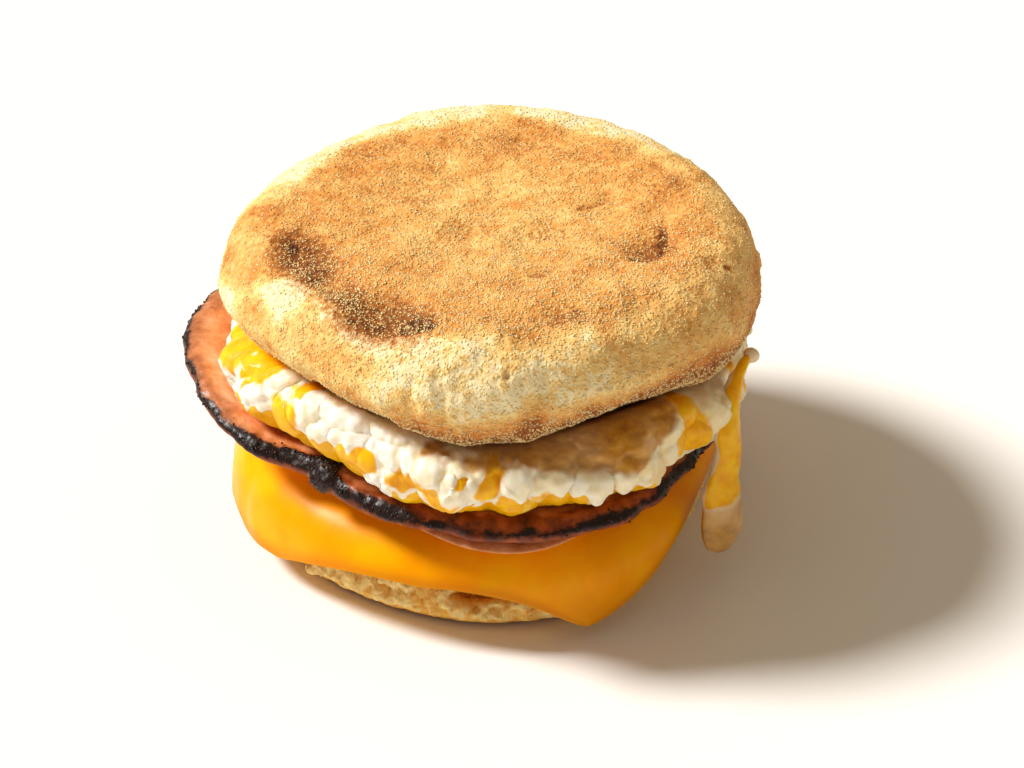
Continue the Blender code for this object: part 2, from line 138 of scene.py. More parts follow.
# Each curd's angle, height, half width, half height and push outwards in mm, and its yolk: 1 is all yolk and
# -1 is all white.
EGG_CURDS = [
    (-166, 41.2, 7.5, 4.4, 0.2, 1), (-152, 41.4, 5.0, 2.6, 0.2, 1), (-173, 35.5, 4.6, 4.2, 0.4, -1),
    (-163, 34.2, 5.0, 3.4, 0.4, -1), (-155, 36.8, 1.0, 0.9, 0.1, 1), (-151, 33.2, 5.0, 1.5, 0.1, 0.55),
    (-144, 42.6, 4.0, 1.8, 1.1, -1), (-137.5, 42.3, 2.0, 1.7, 0.5, 1), (-140, 37.5, 4.3, 3.4, 1.3, 1),
    (-131.5, 34.9, 5.8, 2.1, 0.1, 1), (-123.5, 34.8, 5.0, 2.1, 0.1, 1), (-126, 40.3, 9.0, 2.5, 0.7, -1),
    (-118, 36.2, 3.2, 2.5, 0.4, 1), (-112.6, 33.2, 1.9, 3.0, 1.1, -1), (-107.5, 34.4, 3.6, 2.5, -0.2, 0.85),
    (-101.8, 33.6, 2.4, 2.3, -0.1, 0.8), (-104, 38.6, 5.5, 2.0, 0.6, -1), (-97.8, 35.2, 2.3, 4.6, 1.0, -1),
    (-96.1, 37.4, 1.1, 1.1, -0.3, 1), (-99.7, 32.4, 2.4, 1.6, 0.2, 1), (-91.0, 35.8, 2.3, 3.0, 0.1, 1),
    (-85.7, 36.0, 2.3, 3.2, 1.0, -1), (-87.0, 31.6, 2.0, 1.5, 0.2, 1), (-79.0, 32.0, 4.2, 2.4, -0.7, 0.62),
    (-77.5, 35.8, 1.6, 1.9, 1.0, -1), (-73.6, 34.8, 1.5, 2.3, 1.0, -1), (-69.8, 33.8, 1.7, 2.6, 1.1, -1),
    (-64.4, 33.4, 2.5, 2.7, 1.0, -1), (-57.2, 33.0, 2.7, 2.7, 0.8, 0.42), (-52.5, 37.8, 2.8, 3.0, 0.5, -0.8),
    (-44.6, 35.6, 4.4, 5.2, 0.5, 1), (-38.0, 38.6, 2.6, 2.6, 0.3, -0.8),
]
EGG_TAN = [  # above this height the egg's skin is tan; where it is 60 there is none
    (-116, 60), (-106, 40.2), (-95, 39.2), (-86, 38.4), (-77, 37.8), (-70, 36.8), (-60, 36.4), (-54, 38.5),
    (-46, 41.5), (-38, 60), (-20, 45), (60, 42), (150, 43), (172, 60),
]
EGG_YELLOW = [  # below this height the egg is yolk; where it is 0 there is none
    (-176, 0), (-168, 33.6), (-160, 35.2), (-150, 34.8), (-141, 36), (-130, 35.2), (-121, 34.2), (-115, 28),
    (-110, 31.4), (-99, 31.2), (-92, 32.2), (-84, 31.6), (-74, 32.4), (-64, 32), (-56, 31), (-50, 0),
]
TONGUE_PATH = [  # x, y and z in mm
    (43.2, -20.8, 43.4), (41.0, -23.6, 39.4), (39.8, -26.2, 33), (40.0, -26.8, 26), (39.2, -27, 20),
    (39.7, -27, 12.8), (39.6, -27, 6.4),
]
TONGUE_WIDTH = [2.4, 2.8, 4.8, 5.4, 7.2, 8.4, 8.0]  # in mm, from its upper end down
TONGUE_THICKNESS = 4.2 * MM
TONGUE_TWIST = math.radians(28)
YOLK_END = 0.72  # how far down its tongue the yolk runs
DROPLET_PLACE = (43.9 * MM, -19.6 * MM, 42.6 * MM)
DROPLET_RADIUS = 1.4 * MM

# The top half of the muffin: flat and browned above, and arched up along its cut edge in two places.
TOP_CENTRE = (-1.3 * MM, -0.8 * MM)
TOP_RADIUS = 47.7 * MM
TOP_FACE_RADIUS = 40.0 * MM
TOP_CUT_HEIGHT = 40.0 * MM
TOP_HEIGHT = 60.7 * MM
TOP_SEGMENTS = 720
TOP_OUTLINE = [
    (-172, 0), (-132, -1.2), (-95, 0.3), (-60, -0.6), (-30, 0.3), (5, 0.2), (28, -1.2), (48, -1.2), (75, 0),
    (95, 0.3), (112, -1.2), (126, -2.8), (142, -3.8), (156, -2.8),
]
LIP_ARCH = [  # how far its cut edge is arched up
    (-175, 1), (-160, 3), (-146, 4.4), (-128, 4.6), (-112, 2.8), (-98, 0.2), (-82, 0.3), (-70, 3), (-58, 4),
    (-48, 2.8), (-38, 0.2), (-20, 0), (60, 1.2), (120, 0.4),
]
TOP_DENTS = [  # x, y, width and depth in mm
    (-33, -15, 5.0, 1.7), (-27, -23, 4.5, 1.1), (-16, -34, 5.5, 2.3), (-21, -31, 4.0, 1.0),
    (28, -12, 4.5, 1.5), (29, 0, 3.5, 1.1), (21, 7, 3.5, 0.7), (8, -16, 3.0, 0.6), (-2, 15, 9.0, 0.5),
    (10, -38, 6.0, 0.8),
]
SCORCHES = [  # x, y, half length, half width (mm), the long side's angle, and how dark
    (-32.5, -16, 14.0, 7.0, -65, 0.76), (-35, -12, 6.0, 2.4, -68, 0.95), (-31, -21, 5.0, 3.4, -55, 0.85),
    (-25, -28, 8.0, 6.0, -45, 0.68), (-13.5, -36.5, 5.0, 4.2, 20, 1.0), (-11.5, -37.8, 2.6, 1.8, 10, 1.25),
    (-18, -34, 13.0, 8.0, -22, 0.74), (-21, -34.5, 7.0, 3.0, -15, 0.85), (28.4, -11, 7.5, 1.3, 84, 0.95),
    (27, -13, 7.0, 5.4, 0, 0.55), (25, -16, 4.0, 2.2, 10, 0.7), (16.5, 1.5, 6.0, 1.0, 35, 0.45),
    (7.0, -22.6, 1.8, 1.4, 0, 0.6), (11, -35, 8.0, 3.4, 12, 0.5), (36, -17.5, 3.6, 2.2, 60, 0.42),
    (39.8, -16.2, 1.5, 0.9, 20, 0.5), (3, 24, 9, 4, 0, 0.38), (-22, 20, 9, 5, 40, 0.36),
    (14, 20, 8, 4, -20, 0.36), (30, 8, 7, 5, 90, 0.4), (-5, -6, 9, 6, 30, 0.3), (10, -8, 8, 4, -10, 0.3),
    (-16, 4, 7, 5, 10, 0.3),
]
SIDE_BROWNS = [  # angle, height, half width, half height (mm), and how brown
    (-171, 58, 14, 6, 0.5), (-148, 51.5, 7, 4.6, 0.4), (-136, 53.5, 4, 6.5, 0.26), (-123, 52, 7, 4.5, 0.28),
    (-104, 48.5, 6, 4, 0.24), (-42, 47, 9, 5, 0.24), (-12, 50, 8, 6, 0.2), (150, 50, 9, 6, 0.12),
    (40, 50, 8, 6, 0.18),
]
# Pits and, where the depth is below 0, ridges: angle, height, half width, half height and depth in mm.
SIDE_PITS = [(-86.3, 55.7, 0.5, 0.5, 0.8), (-99.4, 51.5, 1.1, 5.0, 0.25), (-102.4, 51.5, 2.0, 5.0, -0.3)]
BROWNED = (-0.6 * MM, -4.2 * MM, 36.8 * MM)  # the griddled disc: its centre and radius
SEMOLINA_GRAINS = 14  # how many times one grain is doubled
SEMOLINA_SIZE = 0.18 * MM

# Heights of the stack, from the bottom muffin's cut face up.
CHEESE_MIDDLE = CUT_HEIGHT + GAP + CHEESE_THICKNESS / 2
LOWER_HAM_MIDDLE = CHEESE_MIDDLE + CHEESE_THICKNESS / 2 + GAP + LOWER_HAM_THICKNESS / 2
HAM_MIDDLE = LOWER_HAM_MIDDLE + LOWER_HAM_THICKNESS / 2 + GAP + HAM_RIM_THICKNESS / 2
EGG_BOTTOM = HAM_MIDDLE + HAM_THICKNESS / 2 + GAP

# The photograph's view: what the camera looks at, how far it stands and how high it looks down from.
TARGET = (2.7 * MM, 0, 24.0 * MM)
CAMERA_DISTANCE = 0.55
CAMERA_ELEVATION = 33.0
CAMERA_LENS = 106.7

# The key light shines from the left, as the photograph's bright and dark sides show.
KEY_ANGLE = 170.0
KEY_ELEVATION = 45.0
KEY_ENERGY = 4.35
KEY_SOFTNESS = 14.0
KEY_COLOUR = (1.0, 0.965, 0.92)
SURROUNDINGS_STRENGTH = 0.33
FLOOR_HALF_SIDE = 6


def hashed(cells, seed):
    """A repeatable number from -1 to 1 for each whole-numbered cell."""
    mixed = np.sin(cells @ np.array([127.1, 311.7, 74.7]) + 19.19 * seed) * 43758.5453
    return 2 * (mixed - np.floor(mixed)) - 1


def noise(points, size, seed):
    """Smooth noise from -1 to 1 that changes over about this size."""
    scaled = points / size
    low = np.floor(scaled)
    ease = (scaled - low) ** 2 * (3 - 2 * (scaled - low))
    total = np.zeros(len(points))
    for corner in itertools.product((0, 1), repeat=3):
        weight = np.prod(np.where(corner, ease, 1 - ease), axis=1)
        total += weight * hashed(low + corner, seed)
    return total


def lumps(points, size, seed, softness=0.0):
    """Rounded bulges of about this size: 1 at a bulge's middle, and less in the creases between them.

    Softness above 0 rounds the creases off."""
    scaled = points / size
    low = np.floor(scaled)
    nearest = np.full(len(points), 9.0)
    for step in itertools.product((-1, 0, 1), repeat=3):
        cell = low + step
        spot = cell + 0.5 + 0.35 * np.stack([hashed(cell, seed + k) for k in range(3)], axis=1)
        square = np.sum((scaled - spot) ** 2, axis=1)
        if softness:
            nearest = -softness * np.logaddexp(-nearest / softness, -square / softness)
        else:
            nearest = np.minimum(nearest, square)
    return np.clip(1 - nearest, 0, 1)


def wander(points, size, seed, amount):
    """The points shifted by smooth noise, so that a pattern read at them gets irregular."""
    return points + amount * np.stack([noise(points, size, seed + k) for k in range(3)], axis=1)


def smoothstep(low, high, value):
    """Rises smoothly from 0 at the low value to 1 at the high one."""
    share = np.clip((value - low) / (high - low), 0, 1)
    return share * share * (3 - 2 * share)


def around(degrees, table, blur=6):
    """Reads a table of (angle, millimetres) pairs at these angles, joined smoothly into a ring."""
    angles, values = zip(*table)
    ring = np.interp(np.arange(360), angles, values, period=360)
    window = np.hanning(2 * blur + 1)
    ring = np.convolve(np.concatenate([ring[-blur:], ring, ring[:blur]]), window / window.sum(), "valid")
    return np.interp(degrees % 360, np.arange(361), np.append(ring, ring[0])) * MM


def polar(points):
    """Each point's distance from the Z axis, and its angle in degrees."""
    return np.hypot(points[:, 0], points[:, 1]), np.degrees(np.arctan2(points[:, 1], points[:, 0]))


def spread(points, factor):
    """The points with their distance from the Z axis multiplied by a factor."""
    return np.column_stack([points[:, 0] * factor, points[:, 1] * factor, points[:, 2]])


def near(degrees, height, radius, spot):
    """How close points on the stack's side are to a spot: 1 in its middle, 0 one half size or more away."""
    angle, level, half_width, half_height = spot
    across = (degrees - angle + 180) % 360 - 180
    sideways = np.radians(across) * radius / (half_width * MM)
    upwards = (height - level * MM) / (half_height * MM)
    return 1 - smoothstep(0.6, 1.4, np.hypot(sideways, upwards))


def smooth_curve(corners, steps):
    """A Catmull-Rom curve through the corners, with this many steps between two of them."""
    corners = np.array(corners)
    corners = np.vstack([2 * corners[0] - corners[1], corners, 2 * corners[-1] - corners[-2]])
    found = []
    for before, start, end, after in zip(corners, corners[1:], corners[2:], corners[3:]):
        for t in np.arange(steps) / steps:
            bend = 2 * before - 5 * start + 4 * end - after + t * (3 * start - before - 3 * end + after)
            found.append(start + 0.5 * t * (end - before + t * bend))
    return [*found, corners[-2]]


def linked(name, shell):
    """A new object in the scene with this bmesh as its mesh."""
    mesh = bpy.data.meshes.new(name)
    shell.to_mesh(mesh)
    shell.free()
    obj = bpy.data.objects.new(name, mesh)
    bpy.context.scene.collection.objects.link(obj)
    return obj


def turned(name, profile, segments):
    """A closed shape spun about Z from (radius, height) points, from the top down its outer side.

    A sixteenth of it is spun, and then doubled four times."""
    shell = bmesh.new()
    rail = [shell.verts.new((radius, 0, height)) for radius, height in profile]
    edges = [shell.edges.new(pair) for pair in zip(rail, rail[1:])]
    sector = math.pi / 8
    bmesh.ops.spin(shell, geom=rail + edges, axis=(0, 0, 1), angle=sector, steps=segments // 16)
    for doubling in range(4):
        copied = bmesh.ops.duplicate(shell, geom=shell.verts[:] + shell.edges[:] + shell.faces[:])["geom"]
        corners = [element for element in copied if isinstance(element, bmesh.types.BMVert)]
        bmesh.ops.rotate(shell, verts=corners, matrix=Matrix.Rotation(sector * 2 ** doubling, 3, "Z"))
    bmesh.ops.remove_doubles(shell, verts=shell.verts, dist=0.001 * MM)
    bmesh.ops.recalc_face_normals(shell, faces=shell.faces)
    return linked(name, shell)


def ball(name, segments, rings):
    """A ball of radius 1 about the origin, to be moulded into another shape."""
    shell = bmesh.new()
    bmesh.ops.create_uvsphere(shell, u_segments=segments, v_segments=rings, radius=1)
    return linked(name, shell)


def points_of(obj):
    """Every vertex of the object's mesh, one row each."""
    points = np.empty(3 * len(obj.data.vertices))
    obj.data.vertices.foreach_get("co", points)
    return points.reshape(-1, 3)


def normals_of(obj):
    """Which way the surface faces at every vertex."""
    normals = np.empty(3 * len(obj.data.vertices))
    obj.data.vertex_normals.foreach_get("vector", normals)
    return normals.reshape(-1, 3)


def place(obj, points):
    """Puts every vertex of the object's mesh at its point."""
    obj.data.vertices.foreach_set("co", points.ravel())
    obj.data.update()


def mark(obj, name, values):
    """Keeps one number for each vertex with the mesh, for the material to read."""
    layer = obj.data.attributes.new(name, "FLOAT", "POINT")
    layer.data.foreach_set("value", np.broadcast_to(values, len(obj.data.vertices)).astype(np.float32))


def finish(obj, material, slot, *nodes):
    """Shades the piece smooth, gives it its material and its body, and hides the parts of the model that it
    stands for.
    """
    obj.data.materials.append(material)
    obj.data.shade_smooth()
    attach(obj, BODY)
    if nodes:
        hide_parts(*nodes)
    return obj


def scatter(name, host, doublings, size, keep, seed):
    """Small angular grains, half sunk into the host's skin, most of them where its keep mask is high."""
    grain = bmesh.new()
    bmesh.ops.create_cube(grain, size=1.2)
    corners = len(grain.verts)
    for _ in range(doublings):
        bmesh.ops.duplicate(grain, geom=grain.verts[:] + grain.edges[:] + grain.faces[:])
    obj = linked(name, grain)
    rng = np.random.default_rng(seed)
    count = 2 ** doublings
    points, normals = points_of(host), normals_of(host)
    chosen = rng.choice(len(points), count, replace=True, p=keep / keep.sum())
    jitter = rng.normal(0, 0.35 * MM, (count, 3))
    sizes = size * rng.uniform(0.55, 1.3, count)
    normal = normals[chosen]
    jitter -= normal * np.sum(jitter * normal, axis=1)[:, None]
    middle = points[chosen] + jitter
    shapes = points_of(obj).reshape(count, corners, 3) * rng.uniform(0.6, 1.25, (count, 1, 3))
    shapes *= rng.uniform(0.8, 1.2, (count, corners, 1))
    place(obj, (shapes * sizes[:, None, None] + middle[:, None, :]).reshape(-1, 3))
    mark(obj, "shade", np.repeat(rng.uniform(0, 1, count), corners))
    return obj


def rgb(code):
    """A linear colour from an sRGB hex code."""
    parts = [int(code[k:k + 2], 16) / 255 for k in (1, 3, 5)]
    return (*(c / 12.92 if c <= 0.04045 else ((c + 0.055) / 1.055) ** 2.4 for c in parts), 1)


def add(tree, kind, inputs, output=0, stops=None, **settings):
    """An output of a new node with these settings. Inputs are values, or outputs of other nodes."""
    made = tree.nodes.new("ShaderNode" + kind)
    for name, value in settings.items():
        setattr(made, name, value)
    if stops:
        ramp = made.color_ramp
        while len(ramp.elements) < len(stops):
            ramp.elements.new(1)
        for element, (where, code) in zip(ramp.elements, stops):
            element.position = where
            element.color = rgb(code)
    for socket, value in inputs.items():
        if isinstance(value, bpy.types.NodeSocket):
            tree.links.new(value, made.inputs[socket])
        else:
            made.inputs[socket].default_value = value
    return made.outputs[output]


def material(name, shine, *marks):
    """A new material whose shader has these values: the material, its node tree, its Object coordinates and
    the numbers that the mesh keeps under these names."""
    made = bpy.data.materials.new(name)
    made.use_nodes = True
    tree = made.node_tree
    for socket, value in shine.items():
        tree.nodes["Principled BSDF"].inputs[socket].default_value = value
    spot = add(tree, "TexCoord", {}, "Object")
    return made, tree, spot, *(add(tree, "Attribute", {}, "Fac", attribute_name=kept) for kept in marks)


def covered(made, colour, height=None, strength=0, depth=0):
    """Gives the material its colour and, where it has a depth, its fine relief."""
    tree, shader = made.node_tree, made.node_tree.nodes["Principled BSDF"]
    tree.links.new(colour, shader.inputs["Base Color"])
    if depth:
        bump = add(tree, "Bump", {"Height": height, "Strength": strength, "Distance": depth})
        tree.links.new(bump, shader.inputs["Normal"])
    return made


def muffin_crust():
    """Griddled wheat dough dusted with semolina: floury and dull, cream where it only steamed, tan to dark
    brown where it lay on the griddle, with a fine gold grit all over."""
    made, tree, spot, toast_and_painted_shade, scorch = material("griddled_muffin_crust", {
        "Roughness": 0.82, "Subsurface Weight": 0.06, "Subsurface Radius": (3.0, 1.6, 0.7),
        "Subsurface Scale": 0.6 * MM, "Specular IOR Level": 0.28,
    }, "toast_and_painted_shade", "scorch")
    blot = add(tree, "TexNoise", {"Vector": spot, "Scale": 1 / (5.5 * MM), "Detail": 5.0, "Roughness": 0.62})
    fleck = add(tree, "TexNoise", {"Vector": spot, "Scale": 1 / (1.1 * MM), "Detail": 3.0, "Roughness": 0.6})
    # From cream to brown by how toasted it is and by the painted shade kept with it, with blotches and
    # flecks.
    level = add(tree, "Math", {0: blot, 1: 0.95, 2: toast_and_painted_shade}, operation="MULTIPLY_ADD")
    level = add(tree, "Math", {0: fleck, 1: 0.8, 2: level}, operation="MULTIPLY_ADD")
    level = add(tree, "Math", {0: level, 1: 0.875}, operation="SUBTRACT")
    base = add(tree, "ValToRGB", {"Fac": level}, stops=[
        (0.0, "#FDECBC"), (0.16, "#F9D386"), (0.34, "#F0BE70"), (0.56, "#E2A050"), (0.76, "#C97A34"),
        (1.0, "#945222"),
    ])
    # Dark brown where the griddle scorched it.
    dark = add(tree, "Math", {0: fleck, 1: 1.1, 2: scorch}, operation="MULTIPLY_ADD")
    dark = add(tree, "MapRange", {"Value": dark, "From Min": 0.66, "From Max": 1.6})
    singed = add(tree, "ValToRGB", {"Fac": dark}, stops=[
        (0.1, "#DB9246"), (0.45, "#AE6A2C"), (0.75, "#7A4216"), (1.0, "#4E260C"),
    ])
    amount = add(tree, "MapRange", {"Value": dark, "From Min": 0.0, "From Max": 0.45})
    burnt = add(tree, "Mix", {"Factor": amount, "A": base, "B": singed}, "Result", data_type="RGBA")
    # Half of the grit's grains are a paler gold than the dough.
    grit = add(tree, "TexVoronoi", {"Vector": spot, "Scale": 1 / (0.75 * MM)})
    core = add(tree, "MapRange", {"Value": grit, "From Min": 0.42, "From Max": 0.22})
    pick = add(tree, "SeparateColor", {"Color": grit.node.outputs["Color"]})
    some = add(tree, "Math", {0: pick, 1: 0.5}, operation="GREATER_THAN")
    grain = add(tree, "Math", {0: core, 1: some}, operation="MULTIPLY")
    grain = add(tree, "Math", {0: grain, 1: 0.5}, operation="MULTIPLY")
    colour = add(tree, "Mix", {"Factor": grain, "A": burnt, "B": rgb("#F8DFA4")}, "Result", data_type="RGBA")
    height = add(tree, "Math", {0: core, 1: 0.5, 2: fleck}, operation="MULTIPLY_ADD")
    return covered(made, colour, height, 0.8, 0.45 * MM)


def semolina():
    """Grains of semolina baked on to the crust: pale gold, slightly glassy, so that they sparkle."""
    made, tree, _, shade = material("baked_semolina", {
        "Roughness": 0.38, "Subsurface Weight": 0.2, "Subsurface Radius": (2.0, 1.4, 0.6),
        "Subsurface Scale": 0.5 * MM,
    }, "shade")
    tone = add(tree, "ValToRGB", {"Fac": shade}, stops=[(0.0, "#ECC074"), (0.4, "#F6D68C"), (1.0, "#FCE9B6")])
    return covered(made, tone)


def muffin_crumb():
    """Torn crumb of the same dough: dull, cream and porous, with painted shade in its holes, and browner on
    the wall below it.
    """
    made, tree, spot, toast_and_painted_shade = material("torn_muffin_crumb", {
        "Roughness": 0.9, "Subsurface Weight": 0.2, "Subsurface Radius": (3.0, 1.6, 0.7),
        "Subsurface Scale": 0.8 * MM, "Specular IOR Level": 0.25,
    }, "toast_and_painted_shade")
    fleck = add(tree, "TexNoise", {"Vector": spot, "Scale": 1 / (1.2 * MM), "Detail": 5.0, "Roughness": 0.7})
    level = add(tree, "Math", {0: fleck, 1: 1.1, 2: toast_and_painted_shade}, operation="MULTIPLY_ADD")
    level = add(tree, "Math", {0: level, 1: 0.62}, operation="SUBTRACT")
    tone = add(tree, "ValToRGB", {"Fac": level}, stops=[
        (0.0, "#FFE096"), (0.28, "#FFC860"), (0.55, "#EBA034"), (0.8, "#B46A20"), (1.0, "#6C3C14"),
    ])
    pores = add(tree, "TexVoronoi", {"Vector": spot, "Scale": 1 / (0.9 * MM)})
    height = add(tree, "Math", {0: pores, 1: 0.6, 2: fleck}, operation="MULTIPLY_ADD")
    return covered(made, tone, height, 0.9, 0.6 * MM)


def fried_egg():
    """Egg set in a pan and folded: a moist satin white that light sinks into, marbled with yolk, and tan on
    top where it touched the pan."""
    made, tree, spot, yolk, tan, painted_shade_tint = material("folded_fried_egg", {
        "Roughness": 0.36, "Subsurface Weight": 0.32, "Subsurface Radius": (3.2, 2.0, 0.6),
        "Subsurface Scale": 1.2 * MM, "Coat Weight": 0.06, "Coat Roughness": 0.12, "Specular IOR Level": 0.25,
    }, "yolk", "tan", "painted_shade_tint")
    vein = add(tree, "TexNoise", {"Vector": spot, "Scale": 1 / (2.6 * MM), "Detail": 4.0, "Roughness": 0.6})
    cloud = add(tree, "TexNoise", {"Vector": spot, "Scale": 1 / (5.0 * MM), "Detail": 4.0, "Roughness": 0.6})
    # The white, with painted shade that makes it warmer in its creases and on its right side, and faint
    # smears of yolk.
    warm, smeared = rgb("#F5E2AE"), rgb("#FAD670")
    white = add(tree, "Mix", {"Factor": painted_shade_tint, "A": rgb("#FDF9EE"), "B": warm}, "Result", data_type="RGBA")
    smear = add(tree, "MapRange", {"Value": cloud, "From Min": 0.5, "From Max": 0.72, "To Max": 0.4})
    white = add(tree, "Mix", {"Factor": smear, "A": white, "B": smeared}, "Result", data_type="RGBA")
    gold = add(tree, "ValToRGB", {"Fac": vein}, stops=[(0.3, "#FFCC08"), (0.5, "#FAB800"), (0.72, "#EC9E00")])
    edge = add(tree, "Math", {0: vein, 1: 0.5, 2: yolk}, operation="MULTIPLY_ADD")
    edge = add(tree, "MapRange", {"Value": edge, "From Min": 0.58, "From Max": 0.92})
    marbled = add(tree, "Mix", {"Factor": edge, "A": white, "B": gold}, "Result", data_type="RGBA")
    # The skin that touched the pan.
    fried = add(tree, "ValToRGB", {"Fac": vein}, stops=[
        (0.3, "#DAA23A"), (0.52, "#C28620"), (0.75, "#9A6212"),
    ])
    colour = add(tree, "Mix", {"Factor": tan, "A": marbled, "B": fried}, "Result", data_type="RGBA")
    curd = add(tree, "TexNoise", {"Vector": spot, "Scale": 1 / (0.9 * MM), "Detail": 3.0, "Roughness": 0.55})
    return covered(made, colour, curd, 0.35, 0.3 * MM)


def grilled_ham():
    """Cured ham seared on a griddle: moist salmon-pink meat, browned outwards, with a black sugary rim."""
    made, tree, spot, char, seared = material("grilled_ham", {
        "Roughness": 0.4, "Subsurface Weight": 0.12, "Subsurface Radius": (3.0, 1.0, 0.4),
        "Subsurface Scale": 1.0 * MM, "Coat Weight": 0.1, "Coat Roughness": 0.2, "Specular IOR Level": 0.25,
    }, "char", "seared")
    grain = add(tree, "TexNoise", {"Vector": spot, "Scale": 1 / (3.0 * MM), "Detail": 5.0, "Roughness": 0.6})
    fine = add(tree, "TexNoise", {"Vector": spot, "Scale": 1 / (0.8 * MM), "Detail": 3.0, "Roughness": 0.6})
    pink = add(tree, "ValToRGB", {"Fac": grain}, stops=[(0.3, "#F5BC90"), (0.5, "#EEA26A"), (0.7, "#DC8446")])
    brown = add(tree, "ValToRGB", {"Fac": grain}, stops=[
        (0.3, "#B4581A"), (0.5, "#82370C"), (0.7, "#441604"),
    ])
    # The seared mark holds real browning, and painted shade at the front and under the rim.
    meat = add(tree, "Mix", {"Factor": seared, "A": pink, "B": brown}, "Result", data_type="RGBA")
    edge = add(tree, "Math", {0: fine, 1: 0.7, 2: char}, operation="MULTIPLY_ADD")
    edge = add(tree, "MapRange", {"Value": edge, "From Min": 0.58, "From Max": 1.02})
    colour = add(tree, "Mix", {"Factor": edge, "A": meat, "B": rgb("#1B0704")}, "Result", data_type="RGBA")
    return covered(made, colour, fine, 0.5, 0.35 * MM)


def ham_char():
    """Crumbs of burnt sugar and fat on the ham's rim: black and glassy, so that they glint."""
    made, tree, _, shade = material("burnt_ham_crust", {
        "Roughness": 0.2, "Specular IOR Level": 0.55,
    }, "shade")
    tone = add(tree, "ValToRGB", {"Fac": shade}, stops=[(0.0, "#0E0503"), (0.7, "#220B05"), (1.0, "#5A200C")])
    return covered(made, tone)


def melted_cheese():
    """Processed cheddar, melted and set again: a smooth, even, deep yellow-orange that light sinks into."""
    made, tree, spot, rim = material("melted_cheddar", {
        "Roughness": 0.3, "Subsurface Weight": 0.2, "Subsurface Radius": (3.4, 1.5, 0.05),
        "Subsurface Scale": 1.4 * MM, "Specular IOR Level": 0.09,
    }, "rim")
    cloud = add(tree, "TexNoise", {"Vector": spot, "Scale": 1 / (11 * MM), "Detail": 3.0, "Roughness": 0.5})
    tone = add(tree, "ValToRGB", {"Fac": cloud}, stops=[
        (0.35, "#FFB000"), (0.5, "#FFA400"), (0.68, "#F89A00"),
    ])
    # Darker orange along the edge, and painted shade low on the front corner, as the rim mark holds.
    colour = add(tree, "Mix", {"Factor": rim, "A": tone, "B": rgb("#C97708")}, "Result", data_type="RGBA")
    dimple = add(tree, "TexNoise", {"Vector": spot, "Scale": 1 / (2.4 * MM), "Detail": 2.0, "Roughness": 0.5})
    return covered(made, colour, dimple, 0.08, 0.3 * MM)


def bottom_muffin(crumb):
    """The lower half: a low wall of crust, and above it a torn slope of crumb up to the cut face."""
    side = [
        (CUT_RADIUS, CUT_HEIGHT),
        (CUT_RADIUS + 3.6 * MM, CUT_HEIGHT - 1.8 * MM),
        (CUT_RADIUS + 6.2 * MM, CUT_HEIGHT - 5 * MM),
        (BOTTOM_RADIUS - 1.2 * MM, CRUST_HEIGHT + 4 * MM),
        (BOTTOM_RADIUS, CRUST_HEIGHT),
        (BOTTOM_RADIUS - 0.6 * MM, CRUST_HEIGHT / 2),
        (BOTTOM_RADIUS - 2.6 * MM, 0.7 * MM),
        (BASE_RADIUS, 0),
    ]
    cut_face = [(share * CUT_RADIUS, CUT_HEIGHT) for share in (0, 0.4, 0.7, 0.88, 0.95)]
    base = [(share * BASE_RADIUS, 0) for share in (0.95, 0.85, 0.6, 0.3, 0)]
    obj = turned("muffin_bottom", [*cut_face, *smooth_curve(side, 9), *base], BOTTOM_SEGMENTS)
    points = points_of(obj)
    radius, angle = polar(points)
    ragged = points[:, 2] + 1.1 * MM * noise(points, 5 * MM, 60)
    torn = smoothstep(TORN_HEIGHT - 1 * MM, TORN_HEIGHT + 1 * MM, ragged)
    torn *= smoothstep(CUT_RADIUS - 1 * MM, CUT_RADIUS + 3 * MM, radius)
    rough = 0.7 * noise(points, CRAG_SIZE, 3) + 0.6 * noise(points, CRAG_SIZE / 2, 4) - 0.2
    wobble = 0.25 * MM * noise(points, 2 * CRAG_SIZE, 2)
    swell = around(angle, BOTTOM_OUTLINE, 15) + torn * CRAG_DEPTH * rough + wobble
    swell -= around(angle, CHEESE_COVER)
    place(obj, spread(points, 1 + swell / BOTTOM_RADIUS))
    points, normals = points_of(obj), normals_of(obj)
    # The crumb: open bubbles of three sizes, ragged between them.
    bent = wander(points, 3 * MM, 51, 0.8 * MM)
    nooks = 1 - lumps(bent, 2.8 * MM, 52)
    pits = 1 - lumps(bent, 1.3 * MM, 53)
    slot = near(angle, points[:, 2], radius, HOLLOW[:4])
    holes = smoothstep(0.1, 0.5, noise(bent, 2.2 * MM, 57))
    rags = 0.8 * noise(points, 1.7 * MM, 58) + 0.8 * noise(points, 0.85 * MM, 59)
    depth = torn * MM * (1.0 * nooks + 0.9 * pits + 1.0 * holes + rags - 1.3 + HOLLOW[4] * slot)
    # The crust wall below it is only a little rough.
    wall = smoothstep(0.3 * MM, 1.5 * MM, points[:, 2]) * (1 - torn)
    depth += wall * MM * (0.16 * noise(points, 1.6 * MM, 54) + 0.1 * noise(points, 0.9 * MM, 55) + 0.1)
    place(obj, points - normals * depth[:, None])
    low = 1 - smoothstep(0.3 * MM, 2.4 * MM, points[:, 2])
    # Painted shade: darker in the crumb's nooks, pits and holes, and in the slot under the cheese. The crust
    # wall and its bottom edge are browner of their own.
    toast_and_painted_shade = 0.34 * (1 - torn) + 0.5 * low + torn * (0.1 * nooks + 0.1 * pits + 0.2 * holes + 0.7 * slot)
    mark(obj, "toast_and_painted_shade", toast_and_painted_shade)
    return finish(obj, crumb, "muffin", "bottom_muffin")


